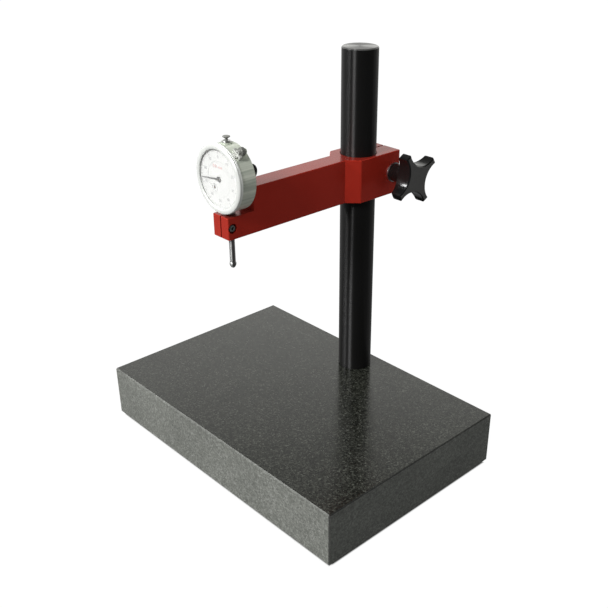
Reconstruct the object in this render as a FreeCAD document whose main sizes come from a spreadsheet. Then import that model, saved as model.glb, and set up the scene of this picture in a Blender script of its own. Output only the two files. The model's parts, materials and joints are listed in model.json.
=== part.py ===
import FreeCAD, Part
import Sketcher
import math
import os
from FreeCAD import Vector, Placement, Rotation

# Comparator stand: a granite base, a round column, a split clamp arm with a
# four-arm knob, and a plunger dial indicator held by its stem in the arm's nose.
# Millimetres. +X is the base's long side, the dial looks towards -Y, +Z is up.
# z = 0 is the plane the rubber feet stand on; the column stands at the back.

os.makedirs("parts", exist_ok=True)
doc = FreeCAD.newDocument("comparator_stand")

# ---------------------------------------------------------------- dimensions
DIM = [
    # base
    ("base_w", 304.8), ("base_d", 203.2), ("base_t", 50.8), ("base_yc", -12.43),
    ("base_edge", 1.0), ("foot_t", 3.2), ("foot_rad", 7.0), ("foot_inset", 30.0),
    # column
    ("post_y", 65.87), ("post_rad", 15.875), ("post_len", 304.8), ("post_edge", 1.0),
    ("spot_rad", 16.2), ("spot_deep", 0.4),
    ("bolt_rad", 4.76), ("bolt_head_rad", 7.15), ("bolt_head_len", 9.5),
    ("bolt_grip", 25.0), ("cbore_rad", 11.5), ("cbore_len", 17.0),
    ("boltwash_rad", 10.3), ("boltwash_t", 1.6),
    # arm
    ("arm_z", 229.1), ("arm_tall", 38.8), ("arm_half", 9.75), ("arm_reach", 153.8),
    ("nose_len", 26.0), ("nose_tall", 18.7), ("block_half", 19.7),
    ("block_back", 33.1), ("shoulder_y", 25.8), ("arm_edge", 0.5),
    ("bore_gap", 0.06), ("slit_half", 0.9), ("nose_slit_half", 0.65),
    ("knob_y", 25.0), ("knob_z", 20.05),
    # knob
    ("stud_rad", 3.97), ("stud_hole_rad", 4.4), ("stud_tap_rad", 4.02),
    ("stud_end", 15.0), ("kwash_rad", 8.73), ("kwash_t", 1.59),
    ("hub_rad", 7.9), ("knob_rad", 25.2), ("knob_front", 49.4), ("knob_tip", 39.2),
    ("scallop_rad", 18.5), ("scallop_dist", 30.0), ("knob_turned", 30.3),
    # stem clamp screw
    ("cs_y", 4.25), ("cs_z", 9.5), ("cs_rad", 1.3), ("cs_head_rad", 2.7),
    ("cs_head_len", 4.0), ("cs_cbore_rad", 4.1), ("cs_cbore", 4.2), ("cs_len", 12.0),
    # indicator: axis of the stem, centre of the dial
    ("stem_back", 143.9), ("dial_z", 277.6), ("stem_rad", 4.0), ("stem_low", 230.7),
    ("spin_rad", 2.38), ("run_gap", 0.05), ("spin_low", 206.4), ("tip_low", 200.6),
    ("tip_rad", 2.85), ("spin_top", 306.0), ("cap_top", 309.9), ("cap_rad", 3.0),
    ("case_rad", 27.0), ("case_in", 25.2), ("case_back", -6.4), ("case_front", 6.8),
    ("neck_rad", 25.4), ("neck_front", 7.4), ("rim_in", 26.3), ("rim_deep", 5.0), ("ledge_in", 21.0),
    ("bezel_rad", 27.7), ("bezel_back", 7.0), ("bezel_front", 10.8),
    ("bezel_in", 24.6), ("lip_in", 23.5), ("lip_t", 0.65), ("crystal_t", 0.8),
    ("dial_back", 8.0), ("dial_front", 8.5), ("dial_split", 14.0),
    ("lug_hole_rad", 3.175), ("lug_end_rad", 6.9), ("lug_half", 3.175),
    ("lug_v", -19.5), ("cover_t", 1.4),
    # movement
    ("gear_dist", 10.1), ("rack_teeth", 16.0), ("big_teeth", 100.0),
    ("small_teeth", 10.0), ("travel", 10.0), ("rack_line", 1.2), ("takeup_dir", 233.0),
    ("hand_dir", 186.9), ("hand_len", 22.2), ("arbor_rad", 0.55), ("thin_arbor_rad", 0.45),
    ("pivot_gap", 0.03),
]
V = dict(DIM)
sheet = doc.addObject("Spreadsheet::Sheet", "dims")
for i, (k, v) in enumerate(DIM):
    sheet.set("A%d" % (i + 1), k)
    sheet.set("B%d" % (i + 1), str(v))
    sheet.setAlias("B%d" % (i + 1), k)
doc.recompute()


class Q:
    """A length with the sheet expression that gives it."""

    def __init__(self, v, e):
        self.v, self.e = float(v), e

    def __add__(self, o):
        o = q(o)
        return Q(self.v + o.v, "(%s + %s)" % (self.e, o.e))

    def __sub__(self, o):
        o = q(o)
        return Q(self.v - o.v, "(%s - %s)" % (self.e, o.e))

    def __mul__(self, o):
        o = q(o)
        return Q(self.v * o.v, "(%s * %s)" % (self.e, o.e))

    def __truediv__(self, o):
        o = q(o)
        return Q(self.v / o.v, "(%s / %s)" % (self.e, o.e))

    def __neg__(self):
        return Q(-self.v, "(0 - %s)" % self.e)

    def __radd__(self, o):
        return q(o) + self

    def __rsub__(self, o):
        return q(o) - self

    def __rmul__(self, o):
        return q(o) * self


def q(a):
    return a if isinstance(a, Q) else Q(a, "%.6f" % a if a >= 0 else "(0 - %.6f)" % -a)


def S(name):
    return Q(V[name], "dims." + name)


def bind(obj, prop, a):
    a = q(a)
    if "dims." in a.e:
        obj.setExpression(prop, a.e)
    else:
        setattr(obj, prop, a.v)


def base_at(obj, x, y, z, rot=None):
    xyz = [q(x), q(y), q(z)]
    obj.Placement = Placement(Vector(*[a.v for a in xyz]), rot or Rotation())
    for n, a in zip("xyz", xyz):
        if "dims." in a.e:
            obj.setExpression("Placement.Base." + n, a.e)


# ---------------------------------------------------------------- primitives
def box(x0, x1, y0, y1, z0, z1):
    o = doc.addObject("Part::Box", "blk")
    x0, x1, y0, y1, z0, z1 = [q(a) for a in (x0, x1, y0, y1, z0, z1)]
    bind(o, "Length", x1 - x0)
    bind(o, "Width", y1 - y0)
    bind(o, "Height", z1 - z0)
    base_at(o, x0, y0, z0)
    return o


TURN = {"z": Rotation(), "x": Rotation(Vector(0, 1, 0), 90), "y": Rotation(Vector(1, 0, 0), -90)}


def cyl(r, a0, a1, axis, p, s):
    """Cylinder from a0 to a1 along an axis, centred at (p, s) in the other two."""
    o = doc.addObject("Part::Cylinder", "rod")
    a0, a1 = q(a0), q(a1)
    bind(o, "Radius", r)
    bind(o, "Height", a1 - a0)
    pos = {"z": (p, s, a0), "x": (a0, p, s), "y": (p, a0, s)}[axis]
    base_at(o, *pos, rot=TURN[axis])
    return o


def cone(r0, r1, a0, a1, axis, p, s):
    o = doc.addObject("Part::Cone", "taper")
    a0, a1 = q(a0), q(a1)
    bind(o, "Radius1", r0)
    bind(o, "Radius2", r1)
    bind(o, "Height", a1 - a0)
    pos = {"z": (p, s, a0), "x": (a0, p, s), "y": (p, a0, s)}[axis]
    base_at(o, *pos, rot=TURN[axis])
    return o


def fuse(*objs):
    if len(objs) == 1:
        return objs[0]
    o = doc.addObject("Part::MultiFuse", "joined")
    o.Shapes = list(objs)
    return o


def cut(a, *tools):
    o = doc.addObject("Part::Cut", "cut")
    o.Base = a
    o.Tool = fuse(*tools)
    return o


def group(*objs):
    o = doc.addObject("Part::Compound", "group")
    o.Links = list(objs)
    return o


def solid(shape, pl=None):
    o = doc.addObject("Part::Feature", "form")
    o.Shape = shape
    if pl is not None:
        o.Placement = pl
    return o


def sketch(body, role, pts):
    """Closed polygon bound to the sheet, one distance pair for each corner."""
    sk = body.newObject("Sketcher::SketchObject", "profile")
    plane = [f for f in body.Origin.OriginFeatures if f.Role == role][0]
    sk.AttachmentSupport = [(plane, "")]
    sk.MapMode = "FlatFace"
    pts = [(q(a), q(b)) for a, b in pts]
    n = len(pts)
    for i in range(n):
        a, b = pts[i], pts[(i + 1) % n]
        sk.addGeometry(Part.LineSegment(Vector(a[0].v, a[1].v, 0), Vector(b[0].v, b[1].v, 0)))
    for i in range(n):
        sk.addConstraint(Sketcher.Constraint("Coincident", i, 2, (i + 1) % n, 1))
    for i, (a, b) in enumerate(pts):
        for kind, c, line in (("DistanceX", a, -2), ("DistanceY", b, -1)):
            if abs(c.v) < 1e-9:
                sk.addConstraint(Sketcher.Constraint("PointOnObject", i, 1, line))
            else:
                k = sk.addConstraint(Sketcher.Constraint(kind, -1, 1, i, 1, c.v))
                if "dims." in c.e:
                    sk.setExpression("Constraints[%d]" % k, c.e)
    return sk


def turned(name, pts, angle=360.0):
    """Body of revolution about its own Z: pts are (radius, height)."""
    body = doc.addObject("PartDesign::Body", name)
    sk = sketch(body, "XZ_Plane", pts)
    rev = body.newObject("PartDesign::Revolution", "turn")
    rev.Profile = sk
    rev.ReferenceAxis = (sk, ["V_Axis"])
    rev.Angle = angle
    sk.Visibility = False
    return body


def padded(name, role, pts, length):
    body = doc.addObject("PartDesign::Body", name)
    sk = sketch(body, role, pts)
    pad = body.newObject("PartDesign::Pad", "pad")
    pad.Profile = sk
    bind(pad, "Length", length)
    return body, pad


OUT = []


def final(obj, name):
    obj.Label = name
    OUT.append((name, obj))
    return obj


# indicator parts are drawn flat: local x = X, local y = up from the dial's
# centre, local z = forwards from the stem's axis
stem_y = S("post_y") - S("stem_back")
FACE = Rotation(Vector(1, 0, 0), 90)


def on_face(obj):
    base_at(obj, 0, stem_y, S("dial_z"), FACE)
    return obj


# ---------------------------------------------------------------- base
top_z = S("foot_t") + S("base_t")
y_front = S("base_yc") - S("base_d") / 2
y_back = S("base_yc") + S("base_d") / 2
slab, pad = padded("slab", "XY_Plane", [
    (-(S("base_w") / 2), y_front), (S("base_w") / 2, y_front),
    (S("base_w") / 2, y_back), (-(S("base_w") / 2), y_back)], S("base_t"))
doc.recompute()
ch = slab.newObject("PartDesign::Chamfer", "edge_break")
ch.Base = (pad, ["Edge%d" % (i + 1) for i in range(len(pad.Shape.Edges))])
bind(ch, "Size", S("base_edge"))
base_at(slab, 0, 0, S("foot_t"))
final(cut(slab,
          cyl(5.4, S("foot_t") - 1, top_z + 1, "z", 0, S("post_y")),
          cyl(S("cbore_rad"), S("foot_t") - 1, S("foot_t") + S("cbore_len"), "z", 0, S("post_y")),
          cyl(S("spot_rad"), top_z - S("spot_deep"), top_z + 1, "z", 0, S("post_y"))),
      "granite_base")

feet = []
for sx in (-1, 1):
    for yy in (y_front + S("foot_inset"), y_back - S("foot_inset")):
        x = sx * (S("base_w") / 2 - S("foot_inset"))
        feet.append(fuse(cone(S("foot_rad") - 0.8, S("foot_rad"), 0, 1.2, "z", x, yy),
                         cyl(S("foot_rad"), 1.2, S("foot_t"), "z", x, yy)))
final(group(*feet), "rubber_feet")

# column bolt, from beneath
seat = S("foot_t") + S("cbore_len")
head = cyl(S("bolt_head_rad"), seat - S("boltwash_t") - S("bolt_head_len"), seat - S("boltwash_t"), "z", 0, S("post_y"))
shank = cyl(S("bolt_rad"), seat - S("boltwash_t") - 0.5, top_z + S("bolt_grip"), "z", 0, S("post_y"))
hexs = Part.makePolygon([Vector(4.6 * math.cos(math.radians(60 * i)), 4.6 * math.sin(math.radians(60 * i)), 0) for i in range(7)])
hexk = solid(Part.Face(hexs).extrude(Vector(0, 0, 5.0)))
base_at(hexk, 0, S("post_y"), seat - S("boltwash_t") - S("bolt_head_len") - 0.5)
final(cut(fuse(head, shank), hexk), "post_bolt")
final(cut(cyl(S("boltwash_rad"), seat - S("boltwash_t"), seat, "z", 0, S("post_y")),
          cyl(5.2, seat - 5, seat + 5, "z", 0, S("post_y"))), "post_washer")

# ---------------------------------------------------------------- column
col_len = S("post_len") + S("spot_deep")
post = turned("column", [
    (0, 0), (S("post_rad") - S("post_edge") / 2, 0), (S("post_rad"), S("post_edge") / 2),
    (S("post_rad"), col_len - S("post_edge")), (S("post_rad") - S("post_edge"), col_len),
    (0, col_len)])
base_at(post, 0, S("post_y"), top_z - S("spot_deep"))
final(cut(post, cyl(S("bolt_rad") + S("run_gap"), top_z - 1, top_z + S("bolt_grip") + 3, "z", 0, S("post_y"))), "post")

# ---------------------------------------------------------------- arm
ah, bh = S("arm_half"), S("block_half")
py = S("post_y")
fr = py - S("arm_reach")
sh0 = py - S("shoulder_y")
sh1 = sh0 + (bh - ah)
blank, pad = padded("arm_blank", "XY_Plane", [
    (ah, fr), (ah, sh0), (bh, sh1), (bh, py + S("block_back")),
    (-bh, py + S("block_back")), (-bh, sh1), (-ah, sh0), (-ah, fr)], S("arm_tall"))
nsk = sketch(blank, "YZ_Plane", [
    (fr - 5, S("nose_tall")), (fr + S("nose_len"), S("nose_tall")),
    (fr + S("nose_len"), S("arm_tall") + 5), (fr - 5, S("arm_tall") + 5)])
step = blank.newObject("PartDesign::Pocket", "nose_step")
step.Profile = nsk
step.Type = 1
step.Midplane = True
doc.recompute()
wall = V["post_y"] - V["arm_reach"] + V["nose_len"]
sel = []
for i, e in enumerate(step.Shape.Edges):
    m = e.BoundBox
    inner = abs(m.YMin - wall) < 0.01 and abs(m.YMax - wall) < 0.01 and abs(m.ZMax - V["nose_tall"]) < 0.01
    notch = abs(abs(m.XMin) - V["arm_half"]) < 0.01 and abs(m.XMax - m.XMin) < 0.01 and abs(m.YMin - sh0.v) < 0.01 and abs(m.YMax - sh0.v) < 0.01
    if not inner and not notch:
        sel.append("Edge%d" % (i + 1))
ch = blank.newObject("PartDesign::Chamfer", "edge_break")
ch.Base = (step, sel)
bind(ch, "Size", S("arm_edge"))
base_at(blank, 0, 0, S("arm_z"))
az, at = S("arm_z"), S("arm_z") + S("arm_tall")
ky, kz = py + S("knob_y"), az + S("knob_z")
csy, csz = fr + S("cs_y"), az + S("cs_z")
final(cut(
    blank,
    cyl(S("post_rad") + S("bore_gap"), az - 1, at + 1, "z", 0, py),
    cone(S("post_rad") + 1.0, S("post_rad") - 0.2, az - 0.2, az + 1.0, "z", 0, py),
    cone(S("post_rad") - 0.2, S("post_rad") + 1.0, at - 1.0, at + 0.2, "z", 0, py),
    box(-S("slit_half"), S("slit_half"), py + 5, py + S("block_back") + 1, az - 1, at + 1),
    cyl(S("stud_hole_rad"), 0, bh + 1, "x", ky, kz),
    cyl(S("stud_tap_rad"), -bh - 1, 0, "x", ky, kz),
    cyl(S("stem_rad") + S("run_gap"), az - 1, at + 1, "z", 0, stem_y),
    box(-S("nose_slit_half"), S("nose_slit_half"), fr - 1, stem_y, az - 1, at + 1),
    cyl(S("cs_cbore_rad"), ah - S("cs_cbore"), ah + 3, "x", csy, csz),
    cyl(S("cs_rad") + 0.2, 0, ah, "x", csy, csz),
    cyl(S("cs_rad") + S("run_gap"), -8.0, 0, "x", csy, csz)), "arm")

# ---------------------------------------------------------------- clamp knob
kw0 = bh + 0.0
kw1 = bh + S("kwash_t")
final(cut(cyl(S("kwash_rad"), kw0, kw1, "x", ky, kz), cyl(S("stud_hole_rad"), kw0 - 1, kw1 + 1, "x", ky, kz)), "knob_washer")
klen = S("knob_front") - kw1
krise = S("knob_tip") - kw1
form = turned("knob_form", [
    (0, 0), (S("hub_rad") - 0.4, 0), (S("hub_rad"), 0.4), (S("hub_rad"), krise - 6.0),
    (12.0, krise - 3.6), (S("knob_rad") - 0.8, krise - 0.3), (S("knob_rad"), krise + 0.5),
    (S("knob_rad"), klen - 1.0), (S("knob_rad") - 1.0, klen), (0, klen)])
bites = []
for k in range(4):
    a = math.radians(V["knob_turned"] + 45 + 90 * k)
    # the form's own X points down and its Y along +Y once it is laid on its side
    bx, by = -S("scallop_dist") * math.sin(a), S("scallop_dist") * math.cos(a)
    bites.append(cyl(S("scallop_rad"), -1, klen + 1, "z", bx, by))
    bites.append(cone(S("scallop_rad") - 0.1, S("scallop_rad") + 1.1, klen - 1.0, klen + 0.2, "z", bx, by))
sock = cyl(S("stud_rad"), -1, 15.0, "z", 0, 0)
kn = cut(form, *(bites + [sock]))
base_at(kn, kw1, ky, kz, TURN["x"])
final(kn, "knob")
final(fuse(cyl(S("stud_rad"), -S("stud_end") + 0.8, kw1 + 15.0, "x", ky, kz),
           cone(S("stud_rad") - 0.8, S("stud_rad"), -S("stud_end"), -S("stud_end") + 0.8, "x", ky, kz)), "knob_stud")

# ---------------------------------------------------------------- stem clamp screw
s0 = ah - S("cs_cbore")
hexs = Part.makePolygon([Vector(1.5 * math.cos(math.radians(60 * i)), 1.5 * math.sin(math.radians(60 * i)), 0) for i in range(7)])
hexk = solid(Part.Face(hexs).extrude(Vector(0, 0, 3.0)))
base_at(hexk, s0 + S("cs_head_len") - 2.6, csy, csz, TURN["x"])
final(cut(fuse(cyl(S("cs_head_rad"), s0, s0 + S("cs_head_len") - 0.4, "x", csy, csz),
               cone(S("cs_head_rad"), S("cs_head_rad") - 0.4, s0 + S("cs_head_len") - 0.4, s0 + S("cs_head_len"), "x", csy, csz),
               cyl(S("cs_rad"), s0 - S("cs_len"), s0 + 0.5, "x", csy, csz)), hexk), "stem_screw")

# ---------------------------------------------------------------- indicator case
cb, cf, ci = S("case_back"), S("case_front"), S("case_in")
ring = turned("case_ring", [
    (ci, cb), (S("case_rad") - 0.5, cb), (S("case_rad"), cb + 0.5), (S("case_rad"), cf),
    (S("rim_in"), cf), (S("rim_in"), S("rim_deep")), (S("neck_rad"), S("rim_deep")),
    (S("neck_rad"), S("neck_front")), (24.6, S("neck_front")),
    (24.6, 3.6), (ci, 3.6), (ci, 2.7), (S("ledge_in"), 2.7), (S("ledge_in"), 1.6), (ci, 1.6)])
posts, taps, scr, csinks = [], [], [], []
for k in range(4):
    a = math.radians(45 + 90 * k)
    x, y = 22.3 * math.cos(a), 22.3 * math.sin(a)
    posts.append(cyl(3.2, cb, 1.9, "z", x, y))
    taps.append(cyl(1.0, cb - 1, 0.0, "z", x, y))
    csinks.append(cyl(1.15, cb - 4, cb + 0.1, "z", x, y))
    csinks.append(cyl(1.85, cb - S("cover_t") - 1, cb - 0.7, "z", x, y))
    slot = box(x - 3, x + 3, y - 0.25, y + 0.25, cb - S("cover_t") - 1, cb - S("cover_t") + 0.35)
    scr.append(cut(fuse(cyl(1.75, cb - S("cover_t") + 0.05, cb - 0.7, "z", x, y), cyl(0.95, cb - 0.7, -0.5, "z", x, y)), slot))
CA = 52.0
ear_pl = Placement(Vector(0, 0, 0), Rotation(Vector(0, 0, 1), CA))


def at_clamp(o):
    o.Placement = ear_pl.multiply(o.Placement)
    return o


CR = 30.6
ear = [at_clamp(cyl(2.1, -3.0, -1.5, "z", CR, 0)), at_clamp(box(25.6, CR, -2.1, 2.1, -3.0, -1.5))]
low_boss = cyl(4.6, -28.2, -26.0, "y", 0, 0)
up_boss = cyl(4.6, 26.0, 27.6, "y", 0, 0)
case = cut(fuse(ring, low_boss, up_boss, *(posts + ear)),
           cyl(S("stem_rad") + 0.03, -30, -ci - 0.5, "y", 0, 0),
           cyl(2.9, -26.5, 26.5, "y", 0, 0),
           cyl(4.0, ci - 0.8, 30, "y", 0, 0),
           at_clamp(cyl(0.85, -5, 0, "z", CR, 0)), *taps)
final(on_face(case), "case")
final(cut(fuse(cyl(S("stem_rad"), S("stem_low") + 0.5, S("dial_z") - ci - 0.55, "z", 0, stem_y),
               cone(S("stem_rad") - 0.5, S("stem_rad"), S("stem_low"), S("stem_low") + 0.5, "z", 0, stem_y)),
          cyl(S("spin_rad") + S("run_gap"), 200, 260, "z", 0, stem_y)), "stem")
bz = S("dial_z") + ci
final(cut(fuse(cyl(3.99, bz - 0.2, bz + 3.0, "z", 0, stem_y), cone(3.99, 3.4, bz + 3.0, bz + 3.5, "z", 0, stem_y)),
          cyl(S("spin_rad") + S("run_gap"), 290, 320, "z", 0, stem_y)), "upper_bush")

cover = turned("cover_disc", [(0, cb - S("cover_t")), (24.6, cb - S("cover_t")), (25.9, cb - 0.3), (25.9, cb), (0, cb)])
final(on_face(cut(cover, *(csinks + [cyl(1.0, -10, 0, "z", 7.0, 0), cyl(1.0, -10, 0, "z", -7.0, 0)]))), "back_cover")
final(on_face(group(*scr)), "cover_screws")
lv, lb = S("lug_v"), cb - S("cover_t")
lug = cut(fuse(cyl(9.5, lb - 1.6, lb, "z", 0, 0),
               box(-S("lug_half"), S("lug_half"), -S("lug_end_rad"), S("lug_end_rad"), lv, lb - 1.0),
               cyl(S("lug_end_rad"), -S("lug_half"), S("lug_half"), "x", 0, lv)),
          cyl(S("lug_hole_rad"), -10, 10, "x", 0, lv),
          cyl(1.15, lb - 3, lb + 1, "z", 7.0, 0), cyl(1.15, lb - 3, lb + 1, "z", -7.0, 0))
final(on_face(lug), "back_lug")
ls = []
for x in (-7.0, 7.0):
    ls.append(cut(fuse(cyl(1.9, lb - 2.7, lb - 1.6, "z", x, 0), cyl(0.95, lb - 1.8, lb + 1.6, "z", x, 0)),
                  box(x - 3, x + 3, -0.25, 0.25, lb - 3.2, lb - 2.3)))
final(on_face(group(*ls)), "lug_screws")

# bezel clamp
tab = cut(fuse(at_clamp(box(26.5, 30.3, -4.6, 4.6, 2.6, 4.7)), at_clamp(cyl(1.75, 2.6, 4.7, "z", CR, 0)),
               at_clamp(box(26.5, 28.3, -2.2, 2.2, 4.5, 6.9))),
          at_clamp(cyl(0.85, 1, 6, "z", CR, 0)), cyl(S("case_rad") + 0.03, 0, 8, "z", 0, 0))
final(on_face(tab), "clamp_tab")
knurl = []
for k in range(18):
    a = math.radians(20 * k)
    knurl.append(at_clamp(cyl(0.3, -3, 4, "z", CR + 3.4 * math.cos(a), 3.4 * math.sin(a))))
final(on_face(cut(fuse(at_clamp(cyl(3.4, -0.9, 1.9, "z", CR, 0)), at_clamp(cone(3.0, 3.4, -1.3, -0.9, "z", CR, 0)),
                       at_clamp(cone(3.4, 3.0, 1.9, 2.3, "z", CR, 0)), at_clamp(cyl(0.8, -2.9, 4.6, "z", CR, 0))), *knurl)), "clamp_screw")

# ---------------------------------------------------------------- bezel and dial
bb, bf, bo, bi = S("bezel_back"), S("bezel_front"), S("bezel_rad"), S("bezel_in")
sk = S("neck_rad") + 0.06
db = S("dial_back")
bez = turned("bezel_form", [
    (sk, S("rim_deep") + 0.2), (S("rim_in") - 0.1, S("rim_deep") + 0.2), (S("rim_in") - 0.1, bb), (bo - 0.35, bb), (bo, bb + 0.35),
    (bo, bb + 1.5), (bo - 0.4, bb + 1.7), (bo - 0.4, bb + 2.0), (bo, bb + 2.2), (bo, bf - 1.15), (bo - 0.12, bf - 0.75),
    (bo - 0.5, bf - 0.42), (bo - 1.1, bf - 0.18), (bo - 1.9, bf - 0.03), (bo - 2.6, bf), (bo - 3.3, bf - 0.03),
    (S("lip_in") + 0.05, bf - 0.42), (S("lip_in"), bf - 0.5), (S("lip_in"), bf - S("lip_t")), (bi, bf - S("lip_t")),
    (bi, db), (23.5, db), (23.5, db - 0.5), (sk, db - 0.5)])
final(on_face(bez), "bezel")
final(on_face(turned("crystal_form", [(0, bf - S("lip_t") - S("crystal_t")), (bi, bf - S("lip_t") - S("crystal_t")), (bi, bf - S("lip_t")), (0, bf - S("lip_t"))])), "crystal")
final(on_face(turned("ring_form", [(S("dial_split") + 0.15, S("dial_back")), (bi, S("dial_back")), (bi, S("dial_front")), (S("dial_split") + 0.15, S("dial_front"))])), "scale_ring")

GD = V["gear_dist"]
R1 = V["travel"] / (2 * math.pi)
AX, AY = -(V["rack_line"] + R1), math.sqrt(GD ** 2 - (V["rack_line"] + R1) ** 2)
BA = math.radians(V["takeup_dir"])
BX, BY = GD * math.cos(BA), GD * math.sin(BA)
PIL = [(13.0, 12.5), (13.0, -12.5), (-18.0, 1.5)]

dc = cut(fuse(cyl(S("dial_split"), S("dial_back"), S("dial_front"), "z", 0, 0), cyl(3.4, 5.8, S("dial_back"), "z", 4.6, 0)),
         cyl(0.95, 5, 10, "z", 0, 0), cyl(0.8, 5, 10, "z", BX, BY))
final(on_face(dc), "dial_centre")

# ---------------------------------------------------------------- movement plates
pg, ar, ta = V["pivot_gap"], S("arbor_rad"), S("thin_arbor_rad")
mid = cut(cyl(24.5, 2.7, 3.4, "z", 0, 0),
          cyl(ar + pg, 2, 5, "z", AX, AY), cyl(ta + pg, 2, 5, "z", 0, 0), cyl(ta + pg, 2, 5, "z", BX, BY),
          *[cyl(0.85, 2, 5, "z", x, y) for x, y in PIL])
final(on_face(mid), "mid_plate")
front = cut(cyl(20.0, 5.2, 5.8, "z", 0, 0),
            cyl(ar + pg, 5, 7, "z", AX, AY), cyl(ta + pg, 5, 7, "z", 0, 0), cyl(ta + pg, 5, 7, "z", BX, BY),
            *[cyl(0.85, 5, 7, "z", x, y) for x, y in PIL])
final(on_face(front), "front_plate")
final(on_face(group(*[cyl(1.3, 3.4, 5.2, "z", x, y) for x, y in PIL])), "plate_pillars")
fs = []
for x, y in PIL:
    fs.append(cut(fuse(cyl(1.4, 5.8, 6.3, "z", x, y), cyl(0.8, 5.2, 6.0, "z", x, y)), box(x - 2, x + 2, y - 0.15, y + 0.15, 6.12, 6.6)))
final(on_face(group(*fs)), "plate_screws")

BR = [(AX - 6.0, AY + 4.2), (AX - 6.0, AY - 4.2)]
bridge = cut(fuse(box(AX - 7.8, AX + 1.6, AY - 6.0, AY + 6.0, -3.9, -3.1), *[cyl(1.5, -3.2, 2.7, "z", x, y) for x, y in BR]),
             cyl(ar + pg, -5, -2, "z", AX, AY), *[cyl(0.7, -5, 1.0, "z", x, y) for x, y in BR])
final(on_face(bridge), "rear_bridge")
final(on_face(group(*[fuse(cyl(1.25, -4.4, -3.9, "z", x, y), cyl(0.68, -4.0, 0.5, "z", x, y)) for x, y in BR])), "bridge_screws")
guide = cut(box(3.1, 5.1, -15.0, 7.0, -2.2, 2.7), box(2, 6, -13.0, 5.0, -0.66, 0.66))
final(on_face(guide), "guide_block")

# ---------------------------------------------------------------- teeth
def gear_pts(n, m, phase, thin, ka, kd, nf):
    r = n * m / 2.0
    pa = math.radians(20)
    rb, ra, rf = r * math.cos(pa), r + ka * m, r - kd * m
    inv = lambda a: math.tan(a) - a
    half = (math.pi * m / 4.0 - thin) / r

    def off(p):
        return half + inv(pa) - (inv(math.acos(rb / p)) if p > rb else 0.0)

    lo = max(rb, rf)
    rr = [lo + (ra - lo) * i / nf for i in range(nf + 1)]
    if rf < rb - 1e-6:
        rr = [rf] + rr
    pts = []
    for i in range(n):
        t = phase + 2 * math.pi * i / n
        pts += [(p * math.cos(t - off(p)), p * math.sin(t - off(p))) for p in rr]
        pts += [(p * math.cos(t + off(p)), p * math.sin(t + off(p))) for p in reversed(rr)]
    return pts


def prism(pts, z0, z1, cx=0.0, cy=0.0):
    w = Part.makePolygon([Vector(x + cx, y + cy, z0) for x, y in pts + pts[:1]])
    return Part.Face(w).extrude(Vector(0, 0, z1 - z0))


MR, NR = 2 * R1 / V["rack_teeth"], int(V["rack_teeth"])
NB, NS = int(V["big_teeth"]), int(V["small_teeth"])
MG = 2 * GD / (NB + NS)
RB_, RS_ = MG * NB / 2, MG * NS / 2
PG = math.pi * MG
aA = math.atan2(AY, AX)
phC = aA
phA = aA + math.pi - (PG / 2) / RB_
sB = RS_ * (phC - BA)
phB = BA + math.pi - (sB + PG / 2) / RB_

rp = prism(gear_pts(NR, MR, 0.0, 0.022, 0.85, 1.2, 2), -1.9, 1.9, AX, AY)
final(on_face(fuse(solid(rp), cyl(ar, -3.85, 5.75, "z", AX, AY))), "rack_pinion")
bg = prism(gear_pts(NB, MG, phA, 0.022, 0.8, 1.15, 1), 3.7, 4.1, AX, AY)
final(on_face(cut(solid(bg), cyl(ar, 3, 6, "z", AX, AY),
                  *[cyl(2.1, 3, 6, "z", AX + 5.2 * math.cos(k * math.pi / 2 + 0.4), AY + 5.2 * math.sin(k * math.pi / 2 + 0.4)) for k in range(4)])), "drive_gear")
cp = prism(gear_pts(NS, MG, phC, 0.03, 0.8, 1.3, 2), 3.55, 4.9)
final(on_face(fuse(solid(cp), cyl(ta, 2.75, 9.25, "z", 0, 0))), "centre_pinion")
tg = prism(gear_pts(NB, MG, phB, 0.022, 0.8, 1.15, 1), 4.4, 4.8, BX, BY)
final(on_face(cut(solid(tg), cyl(ta, 3, 6, "z", BX, BY),
                  *[cyl(2.1, 3, 6, "z", BX + 5.2 * math.cos(k * math.pi / 2 + 0.4), BY + 5.2 * math.sin(k * math.pi / 2 + 0.4)) for k in range(4)])), "takeup_gear")
final(on_face(fuse(cyl(ta, 2.75, 8.84, "z", BX, BY), cyl(0.9, 3.5, 4.35, "z", BX, BY))), "takeup_arbor")

# hairspring: flat spiral round the take-up arbor, outer end pinned to the plate
turns, r0, r1, th = 4.5, 1.15, 4.6, 0.11
inner, outer = [], []
for i in range(73):
    u = i / 72.0
    t, p = 2 * math.pi * turns * u, r0 + (r1 - r0) * u
    inner.append(Vector(BX + (p - th / 2) * math.cos(t), BY + (p - th / 2) * math.sin(t), 3.65))
    outer.append(Vector(BX + (p + th / 2) * math.cos(t), BY + (p + th / 2) * math.sin(t), 3.65))
ci1, co1 = Part.BSplineCurve(), Part.BSplineCurve()
ci1.interpolate(inner)
co1.interpolate(outer)
w = Part.Wire([ci1.toShape(), Part.makeLine(inner[-1], outer[-1]), co1.toShape(), Part.makeLine(outer[0], inner[0])])
final(on_face(solid(Part.Face(w).extrude(Vector(0, 0, 0.35)))), "hairspring")
te = 2 * math.pi * turns
final(on_face(group(cyl(0.35, 3.4, 4.2, "z", BX + (r1 + th / 2 + 0.36) * math.cos(te), BY + (r1 + th / 2 + 0.36) * math.sin(te)))), "hairspring_stud")

# ---------------------------------------------------------------- hands
def blade(root, tip, length, start, ang, z0, z1, cx=0.0, cy=0.0):
    c, s = math.cos(ang), math.sin(ang)
    pts = [(start, -root / 2), (length, -tip / 2), (length, tip / 2), (start, root / 2)]
    return prism([(x * c - y * s, x * s + y * c) for x, y in pts], z0, z1, cx, cy)


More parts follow.
